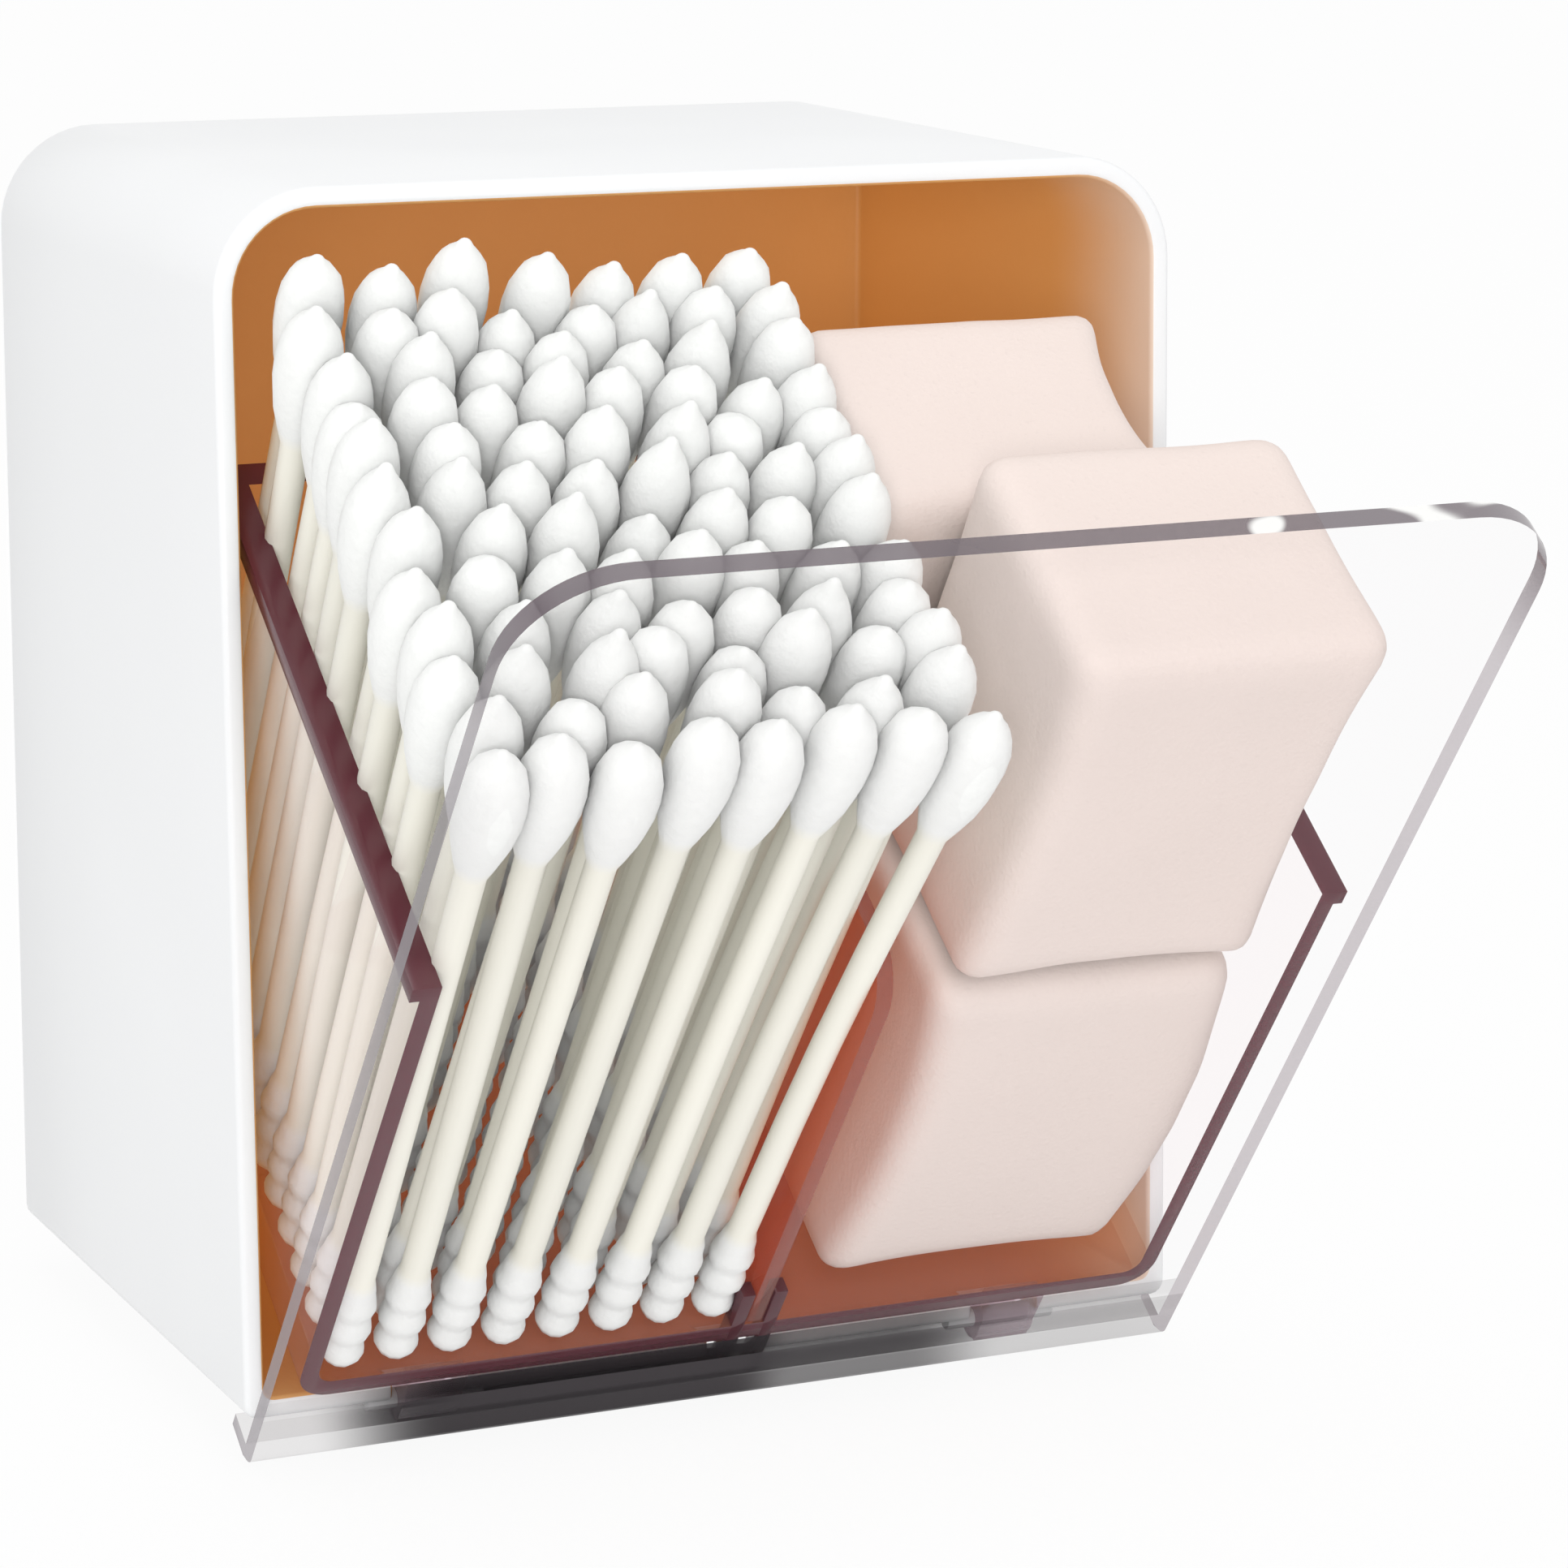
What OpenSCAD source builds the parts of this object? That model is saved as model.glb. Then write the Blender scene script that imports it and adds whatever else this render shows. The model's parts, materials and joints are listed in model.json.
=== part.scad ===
// Tilt-out cotton storage box: a case for a wall, a clear bin that tips out, and what the bin holds.
// The front faces -Y and the back lies against the wall. The origin is the centre of the back face.
// All lengths are in millimetres.

/* [Housing] */
// Width of the case
housing_width = 83; // [78:0.5:110]
// Height of the case
housing_height = 97.4; // [97:0.2:140]
// Depth of the case from its foot at the front to its back
housing_depth = 61; // [60:0.5:100]
// Wall of the case
housing_wall = 1.7; // [1.2:0.1:1.9]
// Radius of the two upper corners
housing_corner = 8.5; // [5:0.5:10]
// Radius of the two lower corners, outside
housing_foot = 1.2; // [0.8:0.1:2]
// Radius of the two lower corners, inside
housing_foot_inside = 0.8; // [0.5:0.1:1.2]
// How far the front opening leans back, in degrees
front_lean = 2; // [1:0.1:2.3]

/* [Hinge] */
// Turn of the bin from shut to open, in degrees
open_angle = 38.4; // [30:0.1:39]
// Hinge axis behind the foot of the front opening
hinge_setback = 1.3; // [1.2:0.05:1.5]
// Hinge axis below the case
hinge_drop = 0.15; // [0.1:0.05:0.3]
// Radius of the moulded hinge pins
pin_radius = 0.8; // [0.7:0.05:0.85]
// Gap all round between pin and lug
pin_gap = 0.06; // [0.03:0.01:0.1]
// Length of each pin that is moulded into the floor beside its notch
pin_root = 2; // [1:0.5:4]
// Distance of each lug from the middle
lug_offset = 26; // [18:0.5:30]
// Width of each lug
lug_width = 5; // [3:0.5:7]
// Wall of each lug around its pin
lug_wall = 0.95; // [0.8:0.05:1.1]
// Mouth of each lug, through which it snaps over its pin
lug_mouth = 1.2; // [1:0.05:1.3]
// Gap beside and behind each lug in the notch of the floor
notch_gap = 0.45; // [0.4:0.05:0.8]

/* [Front panel] */
// Thickness of the clear panel
panel_wall = 1.6; // [1.2:0.1:2]
// How much narrower than the case the panel is
panel_margin = 0.4; // [0:0.1:2]
// Gap between the shut panel and the front of the case
panel_gap = 0.35; // [0.3:0.05:0.5]
// How far the panel stands above the case, for a fingertip
panel_rise = 0.8; // [0:0.1:3]
// Depth of the return lip under the panel, from the panel's front
lip_depth = 4.6; // [3.4:0.1:4.6]
// Thickness of the return lip
lip_wall = 1.4; // [1.2:0.1:2]
// Height of the lip's upper side below the hinge axis
lip_drop = 1.2; // [1.2:0.05:2]
// Radius of the edge between panel and lip
lip_radius = 2.4; // [1.8:0.1:2.6]

/* [Bin] */
// Distance from each side of the case to the outside of the bin
bin_inset = 3.2; // [3:0.1:6]
// Depth of the bin from the front of the panel
bin_depth = 55; // [50:0.5:56]
// Wall of the bin
bin_wall = 1.5; // [1.2:0.1:2]
// Floor of the bin
bin_floor = 1.8; // [1.4:0.1:2.4]
// Underside of the bin's floor above the hinge axis
bin_lift = 4.1; // [4.1:0.1:6]
// Height of the bin's walls above its floor
bin_height = 48.7; // [46:0.1:56]
// Radius of the bin's lower corners, outside
bin_corner = 3; // [2:0.1:4]
// Overhang of the rim outside the walls
rim_overhang = 0.8; // [0.4:0.1:1]
// Height of the rim
rim_height = 1.4; // [1:0.1:3]

/* [Divider] */
// Place of the divider, to the right of the middle
divider_offset = 1.2; // [-4:0.1:3]
// Thickness of the divider
divider_wall = 1.5; // [1.2:0.1:2]
// Height of the divider above the bin's floor
divider_height = 44; // [30:0.5:48]
// Radius of the divider's upper corners
divider_corner = 5; // [2:0.5:10]
// Gap beside and below the divider in its ribs
divider_gap = 0.1; // [0.05:0.05:0.2]
// Thickness of each guide rib
rib_wall = 1.2; // [0.8:0.1:1.6]
// Depth of each guide rib
rib_depth = 1.5; // [1.2:0.1:2.4]
// Height of each guide rib above the floor
rib_height = 4; // [3:0.5:20]

/* [Swabs] */
// Length of a swab
swab_length = 73; // [68:0.5:73.5]
// Radius of the paper stick
stick_radius = 1.2; // [1:0.05:1.3]
// Largest radius of the cotton at both ends
bud_radius = 2.05; // [1.7:0.05:2.1]
// Length of the pointed upper bud
point_length = 14; // [11:0.5:17]
// Length of the beaded lower bud
bead_length = 10; // [8:0.5:12]
// Room that each swab takes, from middle to middle
swab_pitch = 4.4; // [4.35:0.05:5.5]
// Gap between the swabs and the walls of their compartment
swab_gap = 0.2; // [0.15:0.05:0.4]
// How far the swabs lean right over their length
lean_right = 1.6; // [0:0.1:2]
// How far the swabs lean back over their length
lean_back = 0.8; // [0:0.1:1]
// Most by which one swab is shorter than another
length_scatter = 1; // [0:0.1:2]

/* [Sponges] */
// Height of each of the two front sponges
front_sponge_height = 37; // [30:0.5:37]
// Depth of the front sponges
front_sponge_depth = 24; // [20:0.5:26]
// Height of each of the two rear sponges
rear_sponge_height = 33; // [28:0.5:36]
// Room left of the front sponges in their compartment
front_sponge_room = 6.9; // [4:0.1:10]
// Room left of the rear sponges in their compartment
rear_sponge_room = 2.1; // [2:0.1:4]
// Room right of the rear sponges in their compartment
rear_sponge_side = 4.6; // [1:0.1:8]
// Gap between the front sponges and the panel
sponge_front_gap = 2.6; // [1:0.1:4]
// Gap between the rear sponges and the bin's rear wall
sponge_rear_gap = 2.4; // [1:0.1:4]
// Gap between the front and the rear sponges
sponge_row_gap = 1.4; // [0.8:0.1:3]
// Play between a sponge and what it lies on or leans on
sponge_play = 0.15; // [0.1:0.05:0.3]
// Radius of the sponges' upright edges
sponge_edge = 4; // [2:0.5:6]
// Depth of the hollow in the sponges' sides
sponge_waist = 1.6; // [0.5:0.1:2.5]

/* [Hidden] */
$fn = 64;
over = 0.4;

// The bin's own frame has its origin on the hinge axis, X across, Y backward and Z up along the panel.
tilt = open_angle - front_lean;
panel_front = -(hinge_setback * cos(front_lean) + hinge_drop * sin(front_lean) + panel_gap + panel_wall);
panel_back = panel_front + panel_wall;
panel_width = housing_width - panel_margin;
panel_top = (housing_height + panel_rise + hinge_drop) / cos(front_lean);
lip_bottom = -lip_drop - lip_wall;
lug_radius = pin_radius + pin_gap + lug_wall;
notch_depth = hinge_setback + lug_radius + notch_gap;
notch_width = lug_width + 2 * notch_gap;

bin_half = housing_width / 2 - bin_inset;
bin_half_inside = bin_half - bin_wall;
bin_back = panel_front + bin_depth;
bin_back_inside = bin_back - bin_wall;
floor_top = bin_lift + bin_floor;
bin_top = floor_top + bin_height;

divider_left = divider_offset - divider_wall / 2;
divider_right = divider_offset + divider_wall / 2;
web_half = divider_wall / 2 + divider_gap + rib_wall;

// Swabs: rows from front to back, every other row shifted by half a pitch, all leaning the same way.
swab_left = -bin_half_inside + swab_gap + bud_radius;
swab_right = divider_left - swab_gap - bud_radius - lean_right;
swab_front = panel_back + swab_gap + bud_radius;
swab_rear = bin_back_inside - swab_gap - bud_radius - lean_back;
swab_columns = floor((swab_right - swab_left) / swab_pitch + 0.001) + 1;
swab_step = (swab_right - swab_left) / (swab_columns - 1);
swab_rows = floor((swab_rear - swab_front) / (swab_pitch * 0.95)) + 1;
row_step = (swab_rear - swab_front) / (swab_rows - 1);
turn_right = asin(lean_right / swab_length);
turn_back = asin(lean_back / swab_length);

sponge_span = bin_half_inside - divider_right;
front_sponge_width = sponge_span - front_sponge_room - sponge_play;
rear_sponge_width = sponge_span - rear_sponge_room - rear_sponge_side;
front_sponge_y = panel_back + sponge_front_gap;
rear_sponge_y = front_sponge_y + front_sponge_depth + sponge_row_gap;
rear_sponge_depth = bin_back_inside - sponge_rear_gap - rear_sponge_y;

// Moves what is modelled from the foot of the front opening to the centre of the back face.
module from_back() {
    translate([0, -housing_depth, -housing_height / 2]) children();
}

// A block along +Y with rounded upper corners and, where a foot radius is given, rounded lower ones.
module arch(width, height, depth, top_radius, foot_radius = 0) {
    side = width / 2;
    translate([-side, 0, foot_radius])
        cube([width, depth, height - foot_radius - top_radius]);
    translate([-side + top_radius, 0, height / 2])
        cube([width - 2 * top_radius, depth, height / 2]);
    for (way = [-1, 1])
        translate([way * (side - top_radius), 0, height - top_radius])
            rotate([-90, 0, 0]) cylinder(r = top_radius, h = depth);
    if (foot_radius > 0) {
        translate([-side + foot_radius, 0, 0])
            cube([width - 2 * foot_radius, depth, height / 2]);
        for (way = [-1, 1])
            translate([way * (side - foot_radius), 0, foot_radius])
                rotate([-90, 0, 0]) cylinder(r = foot_radius, h = depth);
    }
}

// A trough along +Y with rounded lower corners and square upper ones.
module trough(width, height, depth, foot_radius) {
    side = width / 2;
    translate([-side, 0, foot_radius]) cube([width, depth, height - foot_radius]);
    translate([-side + foot_radius, 0, 0]) cube([width - 2 * foot_radius, depth, height]);
    for (way = [-1, 1])
        translate([way * (side - foot_radius), 0, foot_radius])
            rotate([-90, 0, 0]) cylinder(r = foot_radius, h = depth);
}

// Places what is modelled in the bin's frame, tipped out about the hinge.
module tipped_out() {
    from_back() translate([0, hinge_setback, -hinge_drop]) rotate([tilt, 0, 0]) children();
}

module hinge_pin() {
    length = notch_width + 2 * pin_root;
    translate([-length / 2, hinge_setback, -hinge_drop])
        rotate([0, 90, 0]) cylinder(r = pin_radius, h = length);
}

module housing() {
    inside_width = housing_width - 2 * housing_wall;
    inside_height = housing_height - 2 * housing_wall;
    color([0.95, 0.95, 0.94]) from_back() {
        difference() {
            arch(housing_width, housing_height, housing_depth, housing_corner, housing_foot);
            translate([0, -1, housing_wall])
                arch(inside_width, inside_height, housing_depth - housing_wall + 1,
                     housing_corner - housing_wall, housing_foot_inside);
            rotate([-front_lean, 0, 0]) translate([-housing_width, -20, -5])
                cube([2 * housing_width, 20, housing_height + 20]);
            for (way = [-1, 1])
                translate([way * lug_offset - notch_width / 2, -1, -1])
                    cube([notch_width, notch_depth + 1, housing_wall + 2]);
            translate([divider_offset - web_half - notch_gap, -1, -1])
                cube([2 * web_half + 2 * notch_gap, notch_depth + 1, housing_wall + 2]);
        }
        for (way = [-1, 1]) translate([way * lug_offset, 0, 0]) hinge_pin();
    }
}

// Panel, rounded lower edge and return lip.
module panel() {
    lip_rear = panel_front + lip_depth;
    edge_y = panel_front + lip_radius;
    edge_z = lip_bottom + lip_radius;
    translate([0, panel_front, edge_z])
        arch(panel_width, panel_top - edge_z, panel_wall, housing_corner);
    translate([-panel_width / 2, edge_y, lip_bottom])
        cube([panel_width, lip_rear - edge_y, lip_wall]);
    difference() {
        translate([-panel_width / 2, edge_y, edge_z])
            rotate([0, 90, 0]) cylinder(r = lip_radius, h = panel_width);
        translate([-panel_width, panel_back, -lip_drop])
            cube([2 * panel_width, 2 * lip_radius, 2 * lip_radius]);
        translate([-panel_width, panel_front - over, edge_z + over])
            cube([2 * panel_width, 2 * lip_radius, 2 * lip_radius]);
        translate([-panel_width, edge_y + over, lip_bottom - over])
            cube([2 * panel_width, 2 * lip_radius, 2 * lip_radius]);
    }
}

module lug() {
    difference() {
        union() {
            translate([-lug_width / 2, 0, 0]) rotate([0, 90, 0]) cylinder(r = lug_radius, h = lug_width);
            translate([-lug_width / 2, panel_back - over, -lip_drop - over])
                cube([lug_width, over - panel_back, bin_lift + lip_drop + 2 * over]);
        }
        translate([-lug_width, 0, 0]) rotate([0, 90, 0])
            cylinder(r = pin_radius + pin_gap, h = 2 * lug_width);
        translate([-lug_width, 0, -lug_mouth / 2])
            cube([2 * lug_width, 2 * lug_radius, lug_mouth]);
    }
}

module guide_ribs() {
    for (way = [-1, 1]) {
        rib_x = divider_offset + way * (divider_wall / 2 + divider_gap + rib_wall / 2) - rib_wall / 2;
        translate([rib_x, panel_back - over, -lip_drop - over])
            cube([rib_wall, rib_depth + over, floor_top + rib_height + lip_drop + over]);
        translate([rib_x, bin_back_inside - rib_depth, floor_top - over])
            cube([rib_wall, rib_depth + over, rib_height + over]);
    }
}

module tilt_bin() {
    trough_depth = bin_back - panel_back + over;
    color([0.86, 0.80, 0.83, 0.35]) tipped_out() {
        panel();
        difference() {
            union() {
                translate([0, panel_back - over, bin_lift])
                    trough(2 * bin_half, bin_top - bin_lift, trough_depth, bin_corner);
                translate([-bin_half - rim_overhang, panel_back - over, bin_top - rim_height])
                    cube([2 * bin_half + 2 * rim_overhang, trough_depth + rim_overhang, rim_height]);
            }
            translate([0, panel_back, floor_top])
                trough(2 * bin_half_inside, bin_height + 1, bin_back_inside - panel_back, bin_corner - bin_wall);
        }
        for (way = [-1, 1]) translate([way * lug_offset, 0, 0]) lug();
        guide_ribs();
    }
}

module divider() {
    length = bin_back_inside - panel_back - 2 * divider_gap;
    color([0.62, 0.36, 0.36, 0.6]) tipped_out()
        translate([divider_left, panel_back + divider_gap, floor_top + divider_gap]) {
            cube([divider_wall, length, divider_height - divider_corner]);
            translate([0, divider_corner, 0]) cube([divider_wall, length - 2 * divider_corner, divider_height]);
            for (place = [divider_corner, length - divider_corner])
                translate([0, place, divider_height - divider_corner])
                    rotate([0, 90, 0]) cylinder(r = divider_corner, h = divider_wall);
        }
}

// One swab along +Z: beads below, a point above.
module swab(length) {
    bead = bead_length / 4;
    neck = 0.93 * bud_radius;
    rotate_extrude() polygon([
        [0, 0],
        [0.55 * bud_radius, 0.15],
        [bud_radius, 0.55 * bead],
        [neck, bead],
        [bud_radius, 1.5 * bead],
        [neck, 2 * bead],
        [bud_radius, 2.5 * bead],
        [stick_radius, bead_length],
        [stick_radius, length - point_length],
        [0.95 * bud_radius, length - 0.72 * point_length],
        [bud_radius, length - 0.5 * point_length],
        [0.72 * bud_radius, length - 0.22 * point_length],
        [0.2 * bud_radius, length],
        [0, length]
    ]);
}

// Even but irregular values from 0 to 1 for the swab of a row and a column.
function scatter(row, column) = (1 + sin(row * 97 + column * 151 + row * column * 43)) / 2;

// The swabs are set out upright and leant over together, each one slid along itself to stand on the floor.
module swabs() {
    color([0.97, 0.96, 0.92]) tipped_out()
        translate([swab_left, swab_front, floor_top + 0.25])
            rotate([-turn_back, 0, 0]) rotate([0, turn_right, 0])
                for (row = [0 : swab_rows - 1]) {
                    for (column = [0 : swab_columns - 1 - row % 2]) {
                        x = (column + (row % 2) / 2) * swab_step * cos(turn_right);
                        y = row * row_step * cos(turn_back);
                        translate([x, y, x * tan(turn_right) + y * tan(turn_back)])
                            swab(swab_length - length_scatter * scatter(row, column));
                    }
                }
}

// One upright sponge with its corner at the origin, hollow at both sides, above and below.
module sponge(width, depth, height) {
    side_half = depth / 2 - sponge_edge;
    side_radius = (side_half * side_half + sponge_waist * sponge_waist) / (2 * sponge_waist);
    end_half = width / 2 - sponge_edge;
    end_radius = (end_half * end_half + sponge_waist * sponge_waist) / (2 * sponge_waist);
    difference() {
        union() {
            translate([sponge_edge, 0, 0]) cube([width - 2 * sponge_edge, depth, height]);
            translate([0, sponge_edge, 0]) cube([width, depth - 2 * sponge_edge, height]);
            for (x = [sponge_edge, width - sponge_edge], y = [sponge_edge, depth - sponge_edge])
                translate([x, y, 0]) cylinder(r = sponge_edge, h = height);
        }
        for (x = [sponge_waist - side_radius, width - sponge_waist + side_radius])
            translate([x, depth / 2, -1]) cylinder(r = side_radius, h = height + 2);
        for (z = [sponge_waist - end_radius, height - sponge_waist + end_radius])
            translate([width / 2, -1, z]) rotate([-90, 0, 0]) cylinder(r = end_radius, h = depth + 2);
    }
}

module sponges() {
    front_x = divider_right + front_sponge_room;
    rear_x = divider_right + rear_sponge_room;
    base = floor_top + sponge_play;
    color([0.97, 0.85, 0.80]) tipped_out()
        for (level = [0, 1]) {
            translate([front_x, front_sponge_y, base + level * (front_sponge_height + sponge_play)])
                sponge(front_sponge_width, front_sponge_depth, front_sponge_height);
            translate([rear_x, rear_sponge_y, base + level * (rear_sponge_height + sponge_play)])
                sponge(rear_sponge_width, rear_sponge_depth, rear_sponge_height);
        }
}

housing();
tilt_bin();
divider();
swabs();
sponges();
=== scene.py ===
import json
import math

import bpy
import numpy as np
from bpy.props import FloatProperty, FloatVectorProperty, IntProperty, PointerProperty
from mathutils import Matrix, Vector, noise


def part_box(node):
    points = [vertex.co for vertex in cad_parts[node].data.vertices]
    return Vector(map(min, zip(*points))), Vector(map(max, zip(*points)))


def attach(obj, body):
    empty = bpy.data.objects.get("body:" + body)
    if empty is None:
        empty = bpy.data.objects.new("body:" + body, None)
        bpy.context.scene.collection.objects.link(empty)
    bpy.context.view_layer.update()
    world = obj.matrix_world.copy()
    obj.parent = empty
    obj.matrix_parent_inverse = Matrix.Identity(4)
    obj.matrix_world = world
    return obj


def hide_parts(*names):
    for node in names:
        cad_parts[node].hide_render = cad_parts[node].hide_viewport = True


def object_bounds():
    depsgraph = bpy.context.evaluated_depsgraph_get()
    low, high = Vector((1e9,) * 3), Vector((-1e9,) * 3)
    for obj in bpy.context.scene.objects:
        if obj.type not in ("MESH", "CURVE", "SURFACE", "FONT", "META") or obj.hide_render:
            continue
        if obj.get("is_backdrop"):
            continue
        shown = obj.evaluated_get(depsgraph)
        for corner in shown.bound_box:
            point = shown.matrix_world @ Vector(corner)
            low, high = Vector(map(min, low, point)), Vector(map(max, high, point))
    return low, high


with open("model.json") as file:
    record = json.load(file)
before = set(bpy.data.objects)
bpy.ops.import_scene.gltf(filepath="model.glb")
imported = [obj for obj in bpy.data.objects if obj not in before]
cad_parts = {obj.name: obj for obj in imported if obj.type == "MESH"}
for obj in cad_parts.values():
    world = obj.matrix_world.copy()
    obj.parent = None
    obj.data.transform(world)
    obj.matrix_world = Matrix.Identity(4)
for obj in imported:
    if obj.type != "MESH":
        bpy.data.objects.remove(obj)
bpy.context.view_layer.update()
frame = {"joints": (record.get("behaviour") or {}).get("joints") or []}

bl_info = {
    "name": "Cotton Storage Box",
    "version": (1, 0, 0),
    "blender": (4, 5, 0),
    "location": "View3D > Sidebar > Cotton Box",
    "description": "A wall box with a clear tilt-out bin that holds cotton swabs and makeup sponges",
    "category": "Add Mesh",
}

MM = 0.001
TILT = frame["joints"][0]
HINGE = Vector(TILT["pos_m"])
OPEN_ANGLE = math.radians(-TILT["range_deg"][0])
case_low, case_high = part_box("housing")

# A hair's breadth, which keeps the faces of neighbouring clear pieces out of one plane
HAIR = 0.02 * MM
# How far a cutting shape reaches past what it cuts
PAST = 5 * MM

# Linear colours of light that has passed the clear plastic
PANEL_THROUGH = (0.988, 0.986, 0.987, 1)
FOOT_THROUGH = (1.0, 0.995, 0.995, 1)
EDGE_THROUGH = (0.72, 0.68, 0.70, 1)
LUG_THROUGH = (0.80, 0.72, 0.76, 1)
BIN_THROUGH = (1.0, 0.985, 0.985, 1)
FLOOR_THROUGH = (0.97, 0.86, 0.81, 1)
DIVIDER_THROUGH = (0.98, 0.74, 0.60, 1)
DIVIDER_EDGE_THROUGH = (0.85, 0.5, 0.42, 1)

# Linear colours of what the clear plastic shows in its own right, and of the glint and the case's orange
# that are painted on it
PALE_EDGE = (0.30, 0.285, 0.305, 1)
PAINTED_GLINT = (0.95, 0.95, 0.93, 1)
PAINTED_CASE_ORANGE = (0.50, 0.18, 0.12, 1)
DIVIDER_EDGE = (0.36, 0.16, 0.13, 1)

# Shape of a swab: corners round it, beads at its foot, and places and widths up its pointed bud
SWAB_SIDES = 12
BEADS = 3
BUD_SHAPE = ((0.12, 0.64), (0.27, 0.86), (0.42, 0.98), (0.56, 1.0), (0.69, 0.93))
TIP_SHAPE = ((0.79, 0.76), (0.87, 0.53), (0.93, 0.3), (0.98, 0.17), (1.0, 0.06))

# Cuts across each side of a sponge and depth of the ripple in its foam
SPONGE_CUTS = 26
RIPPLE = 0.25 * MM

# Light of the room and of the two lamps: place, size and power
ROOM_LIGHT = 0.80
LAMPS = (
    ("key", (-0.41, -0.9, 0.14), 0.25, 2.4),
    ("high", (-0.1, -0.35, 0.93), 0.5, 1.6),
)
LAMP_AIM = Vector((0, -0.03, 0))
# How much of the floor's look is plain white to the camera, the rest takes the shadow
FLOOR_WHITE = 0.93

# The photograph's viewpoint
CAMERA_YAW = math.radians(24.647)
CAMERA_PITCH = math.radians(12.277)
CAMERA_ROLL = math.radians(0.341)
CAMERA_DISTANCE = 424.0 * MM
CAMERA_LENS = 119.95
TARGET_RIGHT = 5.224 * MM
TARGET_ABOVE_BASE = 47.89 * MM


def length(name, description, default):
    """A length in metres that the sidebar shows in the scene's unit."""
    return FloatProperty(
        name=name, description=description, default=default, unit="LENGTH", precision=5
    )


def colour(name, description, red, green, blue):
    """A colour given in the 0 to 255 values of a screen and kept as linear light."""
    linear = [pow(value / 255, 2.2) for value in (red, green, blue)]
    return FloatVectorProperty(
        name=name, description=description, default=(*linear, 1), size=4, min=0, max=1, subtype="COLOR"
    )


class CaseSizes(bpy.types.PropertyGroup):
    """Sizes of the white case."""

    width: length("Width", "Width of the case", case_high.x - case_low.x)
    height: length("Height", "Height of the case without its hinge pins", 2 * case_high.z)
    depth: length("Depth", "Depth of the case at its foot", case_high.y - case_low.y)
    wall: length("Wall", "Thickness of the case", 1.7 * MM)
    corner: length("Corner", "Radius of the upper corners", 8.5 * MM)
    foot: length("Foot", "Radius of the lower corners, outside", 1.2 * MM)
    foot_inside: length("Foot inside", "Radius of the lower corners, inside", 0.8 * MM)
    edge: length("Edge", "Rounding of the moulded edges", 0.5 * MM)
    notch_width: length("Notch width", "Width of the notches for the lugs", 5.9 * MM)
    notch_depth: length("Notch depth", "Depth of the notches behind the foot of the opening", 3.56 * MM)
    web_notch: length("Web notch", "Width of the notch for the divider's ribs", 5 * MM)
    lean: FloatProperty(
        name="Lean",
        description="How far the opening leans back",
        default=math.radians(2),
        subtype="ANGLE",
    )


class BinSizes(bpy.types.PropertyGroup):
    """Sizes of the clear bin, in its own frame: X across, Y backward and Z up along the panel."""

    panel_wall: length("Panel wall", "Thickness of the front panel", 1.6 * MM)
    panel_front: length("Panel front", "Front of the panel before the hinge axis", 3.2545 * MM)
    panel_width: length("Panel width", "Width of the panel", 82.6 * MM)
    panel_top: length("Panel top", "Top of the panel above the hinge axis", 98.41 * MM)
    panel_corner: length("Panel corner", "Radius of the panel's upper corners", 8.5 * MM)
    lip_depth: length("Lip depth", "Depth of the return lip from the panel's front", 4.6 * MM)
    lip_wall: length("Lip wall", "Thickness of the return lip", 1.4 * MM)
    lip_drop: length("Lip drop", "Upper side of the lip below the hinge axis", 1.2 * MM)
    lip_radius: length("Lip radius", "Radius between panel and lip", 2.4 * MM)
    half: length("Half width", "Half the bin's outside width", 38.3 * MM)
    wall: length("Wall", "Thickness of the bin's walls", 1.5 * MM)
    depth: length("Depth", "Depth of the bin from the panel's front", 55 * MM)
    lift: length("Lift", "Underside of the floor above the hinge axis", 4.1 * MM)
    floor: length("Floor", "Thickness of the floor", 1.8 * MM)
    height: length("Height", "Height of the walls above the floor", 48.7 * MM)
    corner: length("Corner", "Radius of the bin's lower corners", 3 * MM)
    rim_overhang: length("Rim overhang", "Overhang of the rim outside the walls", 0.8 * MM)
    rim_height: length("Rim height", "Height of the rim", 1.4 * MM)
    lug_offset: length("Lug offset", "Distance of each lug from the middle", 26 * MM)
    lug_width: length("Lug width", "Width of each lug", 5 * MM)
    lug_radius: length("Lug radius", "Radius of each lug", 1.81 * MM)
    pin_radius: length("Pin radius", "Radius of the hinge pins", 0.8 * MM)
    pin_gap: length("Pin gap", "Gap round the pins", 0.06 * MM)
    lug_mouth: length("Lug mouth", "Mouth of each lug", 1.2 * MM)
    polish: length("Polish", "Rounding of the polished edges", 0.22 * MM)

    @property
    def front(self):
        return -self.panel_front

    @property
    def back(self):
        return self.front + self.depth

    @property
    def panel_back(self):
        return self.front + self.panel_wall

    @property
    def floor_top(self):
        return self.lift + self.floor

    @property
    def top(self):
        return self.floor_top + self.height


class DividerSizes(bpy.types.PropertyGroup):
    """Sizes of the loose plate that parts the bin, and of the ribs that hold it."""

    place: length("Place", "Place of the divider right of the middle", 1.2 * MM)
    wall: length("Wall", "Thickness of the divider", 1.5 * MM)
    height: length("Height", "Height of the divider", 44 * MM)
    corner: length("Corner", "Radius of the divider's upper corners", 5 * MM)
    gap: length("Gap", "Gap round the divider", 0.1 * MM)
    rib_wall: length("Rib wall", "Thickness of each rib", 1.2 * MM)
    rib_depth: length("Rib depth", "Depth of each rib", 1.5 * MM)
    rib_height: length("Rib height", "Height of each rib above the floor", 4 * MM)


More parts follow.
